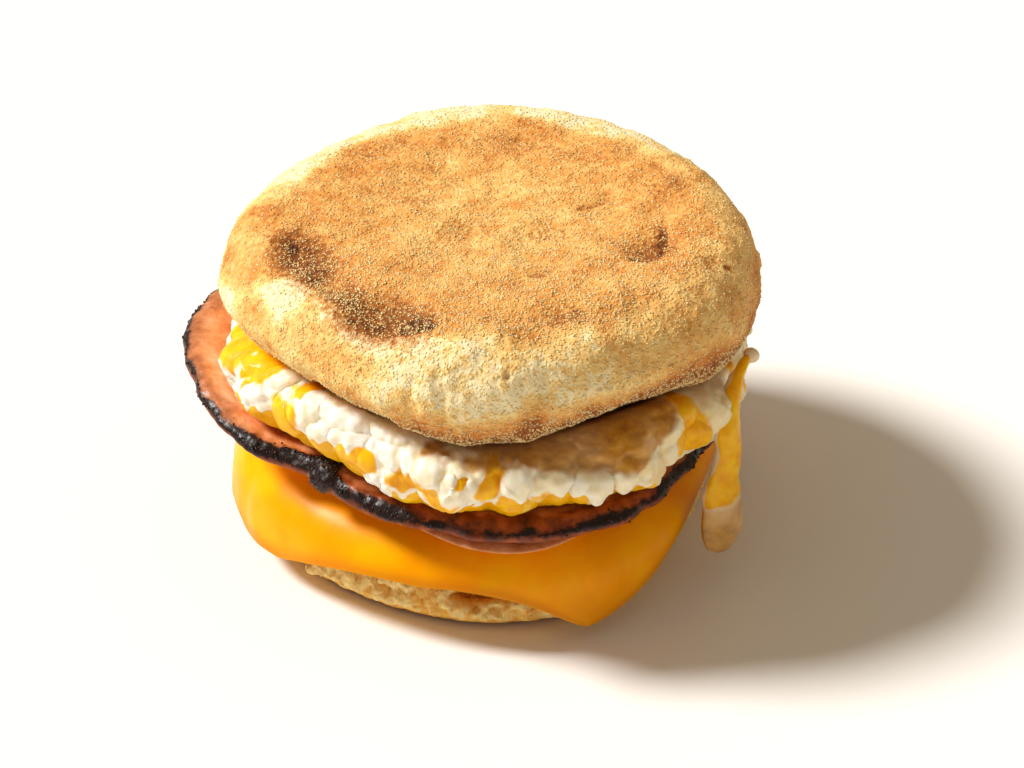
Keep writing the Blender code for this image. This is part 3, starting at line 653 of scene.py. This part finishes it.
def drape(radius, outline):
    """Where a point of the flat slice comes to lie over the muffin's outline: its new radius and height."""
    start = DRAPE_RADIUS + outline
    over = np.clip(radius - start, 0, None)
    angle = math.radians(DRAPE_ANGLE)
    bend = np.minimum(over / DRAPE_BEND, angle)
    straight = np.clip(over - DRAPE_BEND * angle, 0, None)
    out = np.minimum(radius, start) + DRAPE_BEND * np.sin(bend) + straight * math.cos(angle)
    return out, CHEESE_MIDDLE - DRAPE_BEND * (1 - np.cos(bend)) - straight * math.sin(angle)


def cheese(melted):
    """A square sheet with a soft rounded edge, its corners draped down the muffin's side."""
    sheet = bmesh.new()
    bmesh.ops.create_grid(
        sheet, x_segments=SHEET_SQUARES, y_segments=SHEET_SQUARES, size=CHEESE_SIDE / 2,
    )
    obj = linked("cheese_slice", sheet)
    points = points_of(obj)
    u, v = (np.abs(points[:, axis]) / (CHEESE_SIDE / 2) for axis in (0, 1))
    points = spread(points, 1 - CORNER_ROUNDING * (u * v) ** 8)
    turn = math.radians(CHEESE_TURN)
    x = CHEESE_CENTRE[0] + points[:, 0] * math.cos(turn) - points[:, 1] * math.sin(turn)
    y = CHEESE_CENTRE[1] + points[:, 0] * math.sin(turn) + points[:, 1] * math.cos(turn)
    radius, angle = polar(np.column_stack([x, y]))
    radius = radius + around(angle, CHEESE_MELT, 4) * np.maximum(u, v) ** 3
    out, height = drape(radius, around(angle, BOTTOM_OUTLINE, 15))
    hanging = smoothstep(DRAPE_RADIUS, DRAPE_RADIUS + DRAPE_BEND, out)
    out = out + hanging * CHEESE_WAVE * (0.8 + noise(points, CHEESE_SIDE / 4, 11))
    ripple = hanging * 0.3 * MM * noise(points, 9 * MM, 12)
    for spot in CHEESE_BULGES:
        ripple += near(angle, height, out, spot[:4]) * spot[4] * MM
    angle = np.radians(angle)
    place(obj, np.column_stack([(out + ripple) * np.cos(angle), (out + ripple) * np.sin(angle), height]))
    # It is darker along its edge. Low down on the corner that hangs at the front it has painted shade, as it
    # faces away from the light.
    border = smoothstep(0.955, 1.0, np.maximum(u, v)) * 0.75
    low = 0.5 * smoothstep(11 * MM, 3 * MM, height)
    mark(obj, "rim", np.maximum(border, low * smoothstep(-100, -60, np.degrees(angle))))
    wall = obj.modifiers.new("Thickness", "SOLIDIFY")
    wall.thickness = CHEESE_THICKNESS
    wall.offset = 0
    edge = obj.modifiers.new("Soft edge", "BEVEL")
    edge.width = 1.15 * MM
    edge.segments = 4
    edge.limit_method = "ANGLE"
    edge.angle_limit = math.radians(60)
    return finish(obj, melted, "cheese", "cheese")


def ham_profile(thickness, rim_thickness, steps):
    """The section of a slice about its own middle height: flat, then another thickness at its rim."""
    half, rim = thickness / 2, rim_thickness / 2
    inside = SLICE_RADIUS - RIM_WIDTH
    flat = [(0, half), (0.45 * inside, half), (0.8 * inside, half)]
    upper = [
        (0.9 * inside, half), (inside, half), (inside + 0.45 * RIM_WIDTH, rim),
        (inside + 0.78 * RIM_WIDTH, rim * 0.9),
    ]
    lower = [(across, -height) for across, height in reversed(upper)]
    under = [(across, -height) for across, height in reversed(flat)]
    return [*flat, *smooth_curve([*upper, (SLICE_RADIUS, -0.1 * rim), *lower], steps), *under]


def ham_rise(points):
    """How far the upper slice stands above its flat middle: cupped at the rim, and lifted on the left."""
    radius, angle = polar(points)
    cup = HAM_CUP + HAM_WAVE * np.sin(np.radians(5 * angle + 40))
    lift = HAM_LIFT * smoothstep(36 * MM, 57 * MM, -points[:, 0])
    droop = HAM_DROOP * smoothstep(25 * MM, 44 * MM, -points[:, 1])
    return smoothstep(35 * MM, 50 * MM, radius) * (cup - droop) + lift


def lower_ham(ham):
    """A thin slice whose pale edge peeps out at the front."""
    profile = ham_profile(LOWER_HAM_THICKNESS, LOWER_HAM_THICKNESS * 0.8, 4)
    obj = turned("ham_lower", profile, LOWER_HAM_SEGMENTS)
    points = points_of(obj)
    angle = polar(points)[1]
    moved = spread(points, around(angle, LOWER_HAM_OUTLINE) / SLICE_RADIUS)
    moved[:, 2] += LOWER_HAM_MIDDLE
    place(obj, moved)
    mark(obj, "char", 0)
    mark(obj, "seared", 0.3 + 0.15 * noise(moved, 6 * MM, 61))
    return finish(obj, ham, "ham", "lower_ham")


def upper_ham(ham, char):
    """The slice with the charred crust, whose rim is thick and crumbly."""
    obj = turned("ham_upper", ham_profile(HAM_THICKNESS, HAM_RIM_THICKNESS, 6), HAM_SEGMENTS)
    points = points_of(obj)
    distance, angle = polar(points)
    rim = smoothstep(SLICE_RADIUS - RIM_WIDTH, SLICE_RADIUS - RIM_WIDTH / 3, distance)
    crumbs = rim * MM * (0.7 * noise(points, CRUMB_SIZE, 21) + 0.5 * noise(points, 2 * CRUMB_SIZE, 22))
    moved = spread(points, (around(angle, HAM_OUTLINE) + crumbs) / SLICE_RADIUS)
    upside = points[:, 2]
    moved[:, 2] += HAM_MIDDLE + ham_rise(moved)
    place(obj, moved)
    points, normals = points_of(obj), normals_of(obj)
    # The char covers the top of the rim, ends raggedly, and is thin and broken at the front.
    blotch = 0.9 * noise(points, 3 * MM, 23) + 0.6 * noise(points, 1.3 * MM, 29)
    brim = SLICE_RADIUS - around(angle, CHAR_WIDTH)
    crust = smoothstep(brim - 0.5 * MM, brim + 0.4 * MM, distance + 0.55 * blotch * MM)
    under = smoothstep(0.7 * MM, -0.5 * MM, upside + 0.6 * MM * noise(points, 3 * MM, 24))
    thin = smoothstep(-122, -104, angle) * smoothstep(-50, -62, angle)
    thin = thin * smoothstep(-0.1, 0.5, noise(points, 3.5 * MM, 30))
    crust *= (1 - 0.9 * under) * (1 - 0.3 * thin)
    # It has bubbled, and the meat beside it is lightly grained.
    bubbles = lumps(wander(points, 2 * MM, 25, 0.5 * MM), 1.3 * MM, 26, 0.05) - 0.45
    grain = 0.12 * noise(points, 1.4 * MM, 27) + 0.16 * noise(points, 5 * MM, 28)
    knob = near(angle, points[:, 2], distance, HAM_KNOB[:4]) * HAM_KNOB[4]
    crust = np.maximum(crust, knob)
    place(obj, points + normals * (MM * (crust * 0.55 * bubbles + grain + knob))[:, None])
    mark(obj, "char", crust * 0.7 + 0.16 * rim)
    # The meat is browned towards the rim. It is browner still at the front and under the rim's side, which is
    # painted shade where light doesn't reach.
    front = smoothstep(20 * MM, 45 * MM, -points[:, 1])
    outer = smoothstep(SLICE_RADIUS - 9 * MM, SLICE_RADIUS - 2.5 * MM, distance)
    brink = smoothstep(SLICE_RADIUS - 4.2 * MM, SLICE_RADIUS - 1.4 * MM, distance + MM * blotch)
    seared = outer * 0.38 * front + 0.7 * brink + 0.3 * front + 0.4 * under * outer
    mark(obj, "seared", np.clip(seared, 0, 1))
    finish(obj, ham, "ham", "upper_ham")
    keep = np.clip(crust - 0.3, 0, 1) ** 2
    crumbs = scatter("ham_char_crumbs", obj, CHAR_CRUMBS, CHAR_CRUMB_SIZE, keep, SEED)
    return finish(crumbs, char, "ham")


def lip_arch(points):
    """How far the top muffin's cut edge is arched up above its flat middle."""
    radius, angle = polar(points)
    return around(angle, LIP_ARCH) * smoothstep(36 * MM, 45 * MM, radius)


def egg_tongue(cooked):
    """The strand that runs down over the ham and the cheese, yolk above and translucent white below."""
    obj = ball("egg_tongue", 72, 240)
    path = np.array(smooth_curve(np.array(TONGUE_PATH) * MM, 12))
    share = np.linspace(0, 1, len(path))
    widths = np.interp(share, np.linspace(0, 1, len(TONGUE_WIDTH)), TONGUE_WIDTH) * MM
    points = points_of(obj)
    along = np.clip(np.arccos(np.clip(points[:, 2], -1, 1)) / math.pi, 0, 1)
    # The ball is drawn out along the path, and its wide side turns as it hangs.
    middle = np.column_stack([np.interp(along, share, path[:, axis]) for axis in range(3)])
    fullness = np.clip(1 - (2 * along - 1) ** 10, 0, 1) ** 0.5
    width = np.interp(along, share, widths)
    twist = np.arctan2(middle[:, 1], middle[:, 0]) - TONGUE_TWIST * smoothstep(0.35, 0.75, along)
    outward = np.column_stack([np.cos(twist), np.sin(twist)])
    sideways = np.column_stack([-outward[:, 1], outward[:, 0]])
    turn = np.arctan2(points[:, 1], points[:, 0])
    across = np.cos(turn) * width / 2 * fullness
    through = np.sin(turn) * np.minimum(width, TONGUE_THICKNESS) / 2 * fullness
    middle[:, :2] += sideways * across[:, None] + outward * through[:, None]
    place(obj, middle)
    points, normals = points_of(obj), normals_of(obj)
    ripple = 0.3 * noise(points, 3.2 * MM, 71) + 0.16 * noise(points, 1.5 * MM, 72)
    place(obj, points + normals * (MM * ripple * fullness)[:, None])
    # It is yolk above, with white showing on its right side, and tan at its lower end.
    right = smoothstep(0.55, 0.85, normals[:, 0] + 0.25 * noise(points, 2.5 * MM, 73))
    end = smoothstep(YOLK_END + 0.04, YOLK_END - 0.04, along + 0.05 * noise(points, 3 * MM, 74))
    mark(obj, "yolk", end * (1 - right))
    mark(obj, "tan", (1 - end) * (0.72 + 0.12 * noise(points, 4 * MM, 75)) + 0.3 * right)
    # Painted warm shade, with more of it on the lower end.
    mark(obj, "painted_shade_tint", 0.5 * (1 - end) + 0.2)
    return finish(obj, cooked, "egg")


def egg_droplet(cooked):
    """A small blob of white that has squeezed out beside the strand's upper end."""
    obj = ball("egg_droplet", 32, 20)
    points = points_of(obj)
    radius = DROPLET_RADIUS * (1 + 0.12 * noise(points, 0.9, 76))
    place(obj, points * radius[:, None] + np.array(DROPLET_PLACE))
    mark(obj, "yolk", 0)
    mark(obj, "tan", 0.25)
    # A painted warm shade.
    mark(obj, "painted_shade_tint", 0.6)
    return finish(obj, cooked, "egg")


def egg(cooked):
    """The folded egg: a patty with lobes and curds round its edge."""
    side = [
        (EGG_RADIUS - 10 * MM, EGG_TOP),
        (EGG_RADIUS - 5.5 * MM, EGG_TOP),
        (EGG_RADIUS - 2 * MM, EGG_TOP - 1.2 * MM),
        (EGG_RADIUS - 0.3 * MM, EGG_TOP - 4 * MM),
        (EGG_RADIUS, EGG_TOP - 7.5 * MM),
        (EGG_RADIUS - 0.8 * MM, EGG_BOTTOM + 2.2 * MM),
        (EGG_RADIUS - 3.4 * MM, EGG_BOTTOM + 0.6 * MM),
        (EGG_RADIUS - 9 * MM, EGG_BOTTOM + 0.3 * MM),
    ]
    top, bottom = ([(0, height), (EGG_RADIUS / 2, height)] for height in (EGG_TOP, EGG_BOTTOM))
    obj = turned("egg_patty", [*top, *smooth_curve(side, 11), *reversed(bottom)], EGG_SEGMENTS)
    points = points_of(obj)
    radius, angle = polar(points)
    rim = smoothstep(EGG_RADIUS - 8 * MM, EGG_RADIUS - 2 * MM, radius)
    folds = FOLD_DEPTH * noise(points * np.array([1, 1, 0.5]), CURD_SIZE, 31)
    curds = CURD_DEPTH * (lumps(points * np.array([1, 1, 0.8]), CURD_SIZE, 32) - 0.5)
    moved = spread(points, (around(angle, EGG_OUTLINE) + rim * (folds + curds)) / EGG_RADIUS)
    # Its underside follows the ham, and its top follows the muffin's arched edge.
    share = np.clip((points[:, 2] - EGG_BOTTOM) / (EGG_TOP - EGG_BOTTOM), 0, 1)
    moved[:, 2] += (1 - share) * ham_rise(moved) + share * 0.85 * lip_arch(moved)
    moved[:, 2] -= share * rim * 0.5 * MM * (1 + noise(points, 9 * MM, 33))
    moved = spread(moved, 1 - around(angle, EGG_TUCK) * rim * smoothstep(0.75, 0.1, share) / EGG_RADIUS)
    place(obj, moved)
    points, normals = points_of(obj), normals_of(obj)
    radius, angle = polar(points)
    # The curds that show, with streaky outlines: yolk, white, and how far each is pushed out.
    yolk, white, push = np.zeros((3, len(points)))
    bent = wander(wander(points, 4.0 * MM, 34, 1.1 * MM), 1.4 * MM, 64, 0.45 * MM)
    streaks = 1.3 * MM * noise(points * np.array([1, 1, 0.2]), 1.3 * MM, 67)
    bent[:, 2] += streaks
    bent_radius, bent_angle = polar(bent)
    for spot in EGG_CURDS:
        weight = near(bent_angle, bent[:, 2], bent_radius, spot[:4])
        yolk = np.maximum(yolk, weight * max(spot[5], 0))
        white = np.maximum(white, weight * max(-spot[5], 0))
        push = np.maximum(push, weight * spot[4]) + np.minimum(0, weight * spot[4])
    # The tan skin above, and the yolk that has run out below.
    edge = 0.9 * MM * noise(points, 3.0 * MM, 39) + 0.5 * MM * noise(points, 1.2 * MM, 50)
    tan = smoothstep(-0.5 * MM, 0.5 * MM, points[:, 2] - around(angle, EGG_TAN, 3) + edge)
    below = points[:, 2] - around(angle, EGG_YELLOW, 2) + edge + streaks
    yellow = smoothstep(0.3 * MM, -0.3 * MM, below)
    yolk = np.maximum(yolk, yellow * np.where(angle < -88, 1, 0.7) * (1 - white))
    # Small curds and, at the front, rounded lobes along the bottom. Yolk and tan skin are smoother.
    small = lumps(wander(points, 2.4 * MM, 37, 0.9 * MM), 3.2 * MM, 40, 0.06)
    tiny = lumps(wander(points, 1.5 * MM, 43, 0.5 * MM), 1.6 * MM, 46, 0.06)
    calm = 1 - 0.65 * yolk
    teeth = smoothstep(-90, -84, angle) * smoothstep(-56, -60, angle)
    teeth *= smoothstep(38 * MM, 36 * MM, points[:, 2])
    lobes = lumps(wander(points * np.array([1, 1, 0.4]), 3 * MM, 65, 0.5 * MM), 2.7 * MM, 66, 0.05)
    depth = rim * (1 - 0.85 * tan) * MM * (calm * (0.65 * (small - 0.6) + 0.5 * (tiny - 0.5)) + 0.9 * push)
    depth += rim * teeth * (1 - yellow) * MM * (1.0 * lobes - 0.3)
    depth += rim * MM * calm * (0.4 * noise(points, 2.2 * MM, 48) + 0.2 * noise(points, 0.9 * MM, 49))
    place(obj, points + normals * depth[:, None])
    # Loose marbling on the sides that the photograph doesn't show.
    unseen = smoothstep(-30, -18, angle) * smoothstep(180, 170, angle)
    cloud = noise(bent * np.array([1, 1, 0.6]), 8 * MM, 35) + 0.45 * noise(bent, 2.5 * MM, 36)
    loose = unseen * smoothstep(0.1, 0.45, cloud)
    mark(obj, "yolk", np.maximum(yolk * (1 - 0.7 * white * (yolk < 0.4)), loose))
    mark(obj, "tan", np.clip(tan * (0.9 + 0.2 * noise(points, 7 * MM, 38)), 0, 1))
    # Painted shade: the white is yellower in its creases, and towards the right, where it is turned away from
    # the light.
    warm = 0.35 * smoothstep(-116, -96, angle) + 0.35 * smoothstep(-75, -50, angle)
    warm *= smoothstep(40, 0, angle)
    mark(obj, "painted_shade_tint", np.clip(0.85 + warm - 0.65 * small - 0.45 * tiny, 0, 1))
    finish(obj, cooked, "egg", "egg")
    egg_tongue(cooked)
    egg_droplet(cooked)


def top_muffin(crust, grains):
    """The upper half: a flat dented face, a full rounded side and a narrower cut edge below."""
    side = [
        (TOP_FACE_RADIUS - 10 * MM, TOP_HEIGHT),
        (TOP_FACE_RADIUS - 4 * MM, TOP_HEIGHT),
        (TOP_FACE_RADIUS, TOP_HEIGHT - 0.7 * MM),
        (TOP_RADIUS - 3.8 * MM, TOP_HEIGHT - 2.8 * MM),
        (TOP_RADIUS - 1.3 * MM, TOP_HEIGHT - 6 * MM),
        (TOP_RADIUS, TOP_HEIGHT - 10.5 * MM),
        (TOP_RADIUS - 0.6 * MM, TOP_CUT_HEIGHT + 5.4 * MM),
        (TOP_RADIUS - 2.6 * MM, TOP_CUT_HEIGHT + 2 * MM),
        (TOP_RADIUS - 5.6 * MM, TOP_CUT_HEIGHT + 0.3 * MM),
        (TOP_RADIUS - 9 * MM, TOP_CUT_HEIGHT),
    ]
    face = [(radius, TOP_HEIGHT) for radius in np.linspace(0, TOP_FACE_RADIUS - 10.6 * MM, 44)]
    under = [(share * TOP_RADIUS, TOP_CUT_HEIGHT) for share in (0.7, 0.5, 0.25, 0)]
    obj = turned("muffin_top", [*face, *smooth_curve(side, 8), *under], TOP_SEGMENTS)
    points = points_of(obj)
    radius, angle = polar(points)
    skin = smoothstep(0, 1.5 * MM, points[:, 2] - TOP_CUT_HEIGHT)
    swell = around(angle, TOP_OUTLINE, 15) + 0.6 * MM * noise(points, 13 * MM, 41) * skin
    moved = spread(points, 1 + swell / TOP_RADIUS)
    # Its face is sunken and dented, and its cut edge is arched up.
    dips = 0.4 * noise(points, 11 * MM, 42) - 0.7 * smoothstep(30 * MM, 8 * MM, radius)
    for x, y, width, depth in TOP_DENTS:
        distance = np.hypot(points[:, 0] - x * MM, points[:, 1] - y * MM)
        dips = dips - depth * np.exp(-((distance / (width * MM)) ** 2))
    upper = smoothstep(TOP_HEIGHT - 6 * MM, TOP_HEIGHT - 1 * MM, points[:, 2])
    moved[:, 2] += upper * dips * MM
    moved[:, :2] += TOP_CENTRE
    low = 1 - smoothstep(TOP_CUT_HEIGHT + 3 * MM, TOP_CUT_HEIGHT + 14 * MM, points[:, 2])
    moved[:, 2] += low * lip_arch(moved)
    place(obj, moved)
    points, normals = points_of(obj), normals_of(obj)
    # Where the griddle scorched it.
    scorch = np.zeros(len(points))
    for x, y, length, width, lean, strength in SCORCHES:
        east, north = points[:, 0] - x * MM, points[:, 1] - y * MM
        turn = math.radians(lean)
        along = (east * math.cos(turn) + north * math.sin(turn)) / (length * MM)
        across = (north * math.cos(turn) - east * math.sin(turn)) / (width * MM)
        scorch = np.maximum(scorch, strength * (1 - smoothstep(0.2, 1.3, np.hypot(along, across))))
    scorch *= smoothstep(TOP_HEIGHT - 6 * MM, TOP_HEIGHT - 3 * MM, points[:, 2])
    # The crust's low relief: fine cracks, grit, and a few pits on the side.
    crackle = 1 - lumps(wander(points, 4 * MM, 81, 1.2 * MM), 4.2 * MM, 82)
    sides = 1 - upper
    swayed = angle + noise(points, 5 * MM, 91)
    pits = sum(near(swayed, points[:, 2], radius, spot[:4]) * spot[4] for spot in SIDE_PITS)
    grit = 0.16 * noise(points, 1.3 * MM, 83) + 0.16 * noise(points, 2.6 * MM, 84)
    relief = grit + 0.45 * noise(points, 5 * MM, 85) - pits
    depth = MM * (relief - 0.35 * crackle * (0.4 + 0.6 * sides) - 0.7 * scorch)
    place(obj, points + normals * (depth * skin)[:, None])
    # The browned disc on top, the browned lip below, and faint brown patches between them. The extra brown on
    # the right side and at the front of the lip is painted shade.
    across = np.hypot(points[:, 0] - BROWNED[0], points[:, 1] - BROWNED[1])
    across += MM * (1.6 * noise(points, 8 * MM, 86) + 0.9 * noise(points, 3 * MM, 87))
    browned = 1 - smoothstep(BROWNED[2] - 2 * MM, BROWNED[2] + 1.8 * MM, across)
    browned *= smoothstep(TOP_HEIGHT - 5 * MM, TOP_HEIGHT - 2 * MM, points[:, 2])
    swayed_height = points[:, 2] + 1.5 * MM * noise(points, 7 * MM, 88)
    lip = 1 - smoothstep(TOP_CUT_HEIGHT + 3 * MM, TOP_CUT_HEIGHT + 11 * MM, swayed_height)
    front = smoothstep(-30, 30, -np.abs((angle + 75 + 180) % 360 - 180) + 60)
    patches_and_painted_shade = 0.2 * smoothstep(0.05, 0.6, noise(points, 6 * MM, 89))
    # Painted shade: the right side, turned away from the light, is browner.
    patches_and_painted_shade += 0.32 * smoothstep(75, 25, np.abs(angle + 15))
    wavy_height = points[:, 2] + 1.5 * MM * noise(points, 4 * MM, 90)
    for spot in SIDE_BROWNS:
        patches_and_painted_shade += near(angle, wavy_height, radius, spot[:4]) * spot[4]
    paler = 0.14 * smoothstep(30 * MM, 10 * MM, radius)
    # The lip is browned; its extra brown at the front, away from the light, is painted shade.
    toast_and_painted_shade = (0.53 - paler) * browned + (1 - browned) * (lip * (0.2 + 0.7 * front) + patches_and_painted_shade)
    # Painted shade: the cracks are a little browner.
    mark(obj, "toast_and_painted_shade", np.clip(toast_and_painted_shade + 0.07 * crackle, 0, 1))
    mark(obj, "scorch", scorch)
    finish(obj, crust, "muffin", "top_muffin")
    # Most grains lie on the browned face and lip, and at the front.
    keep = skin * (0.15 + 0.85 * smoothstep(10 * MM, -28 * MM, points[:, 1]))
    keep *= np.clip(radius / TOP_RADIUS, 0.05, 1)
    keep *= 0.2 + 0.8 * np.maximum(browned, lip * front)
    dust = scatter("muffin_semolina", obj, SEMOLINA_GRAINS, SEMOLINA_SIZE, keep, SEED + 1)
    return finish(dust, grains, "muffin")


def set_stage():
    """A pale floor, soft warm surroundings, a soft key light from the left, and the camera."""
    floor = bmesh.new()
    bmesh.ops.create_grid(floor, x_segments=1, y_segments=1, size=FLOOR_HALF_SIDE)
    plane = linked("floor", floor)
    paint = material("matt_white_paint", {"Base Color": rgb("#F7F6F4"), "Roughness": 0.9})[0]
    plane.data.materials.append(paint)
    world = bpy.data.worlds.new("surroundings")
    world.use_nodes = True
    background = world.node_tree.nodes["Background"]
    background.inputs["Color"].default_value = rgb("#FFEACB")
    background.inputs["Strength"].default_value = SURROUNDINGS_STRENGTH
    bpy.context.scene.world = world
    key = bpy.data.objects.new("key", bpy.data.lights.new("key", "SUN"))
    key.data.energy = KEY_ENERGY
    key.data.angle = math.radians(KEY_SOFTNESS)
    key.data.color = KEY_COLOUR
    side, rise = math.radians(KEY_ANGLE), math.radians(KEY_ELEVATION)
    towards = Vector((math.cos(side) * math.cos(rise), math.sin(side) * math.cos(rise), math.sin(rise)))
    key.rotation_euler = towards.to_track_quat("Z", "Y").to_euler()
    bpy.context.scene.collection.objects.link(key)
    camera = bpy.data.objects.new("camera", bpy.data.cameras.new("camera"))
    tilt = math.radians(CAMERA_ELEVATION)
    away = (0, -CAMERA_DISTANCE * math.cos(tilt), CAMERA_DISTANCE * math.sin(tilt))
    camera.location = [a + b for a, b in zip(TARGET, away)]
    camera.rotation_euler = (math.pi / 2 - tilt, 0, 0)
    camera.data.lens = CAMERA_LENS
    camera.data.sensor_width = 36
    bpy.context.scene.collection.objects.link(camera)
    bpy.context.scene.camera = camera
    bpy.context.scene.view_settings.view_transform = "Standard"


def main():
    """Makes every piece from the bottom up, then the stage."""
    ham = grilled_ham()
    bottom_muffin(muffin_crumb())
    cheese(melted_cheese())
    lower_ham(ham)
    upper_ham(ham, ham_char())
    egg(fried_egg())
    top_muffin(muffin_crust(), semolina())
    set_stage()
    bpy.context.view_layer.update()


main()
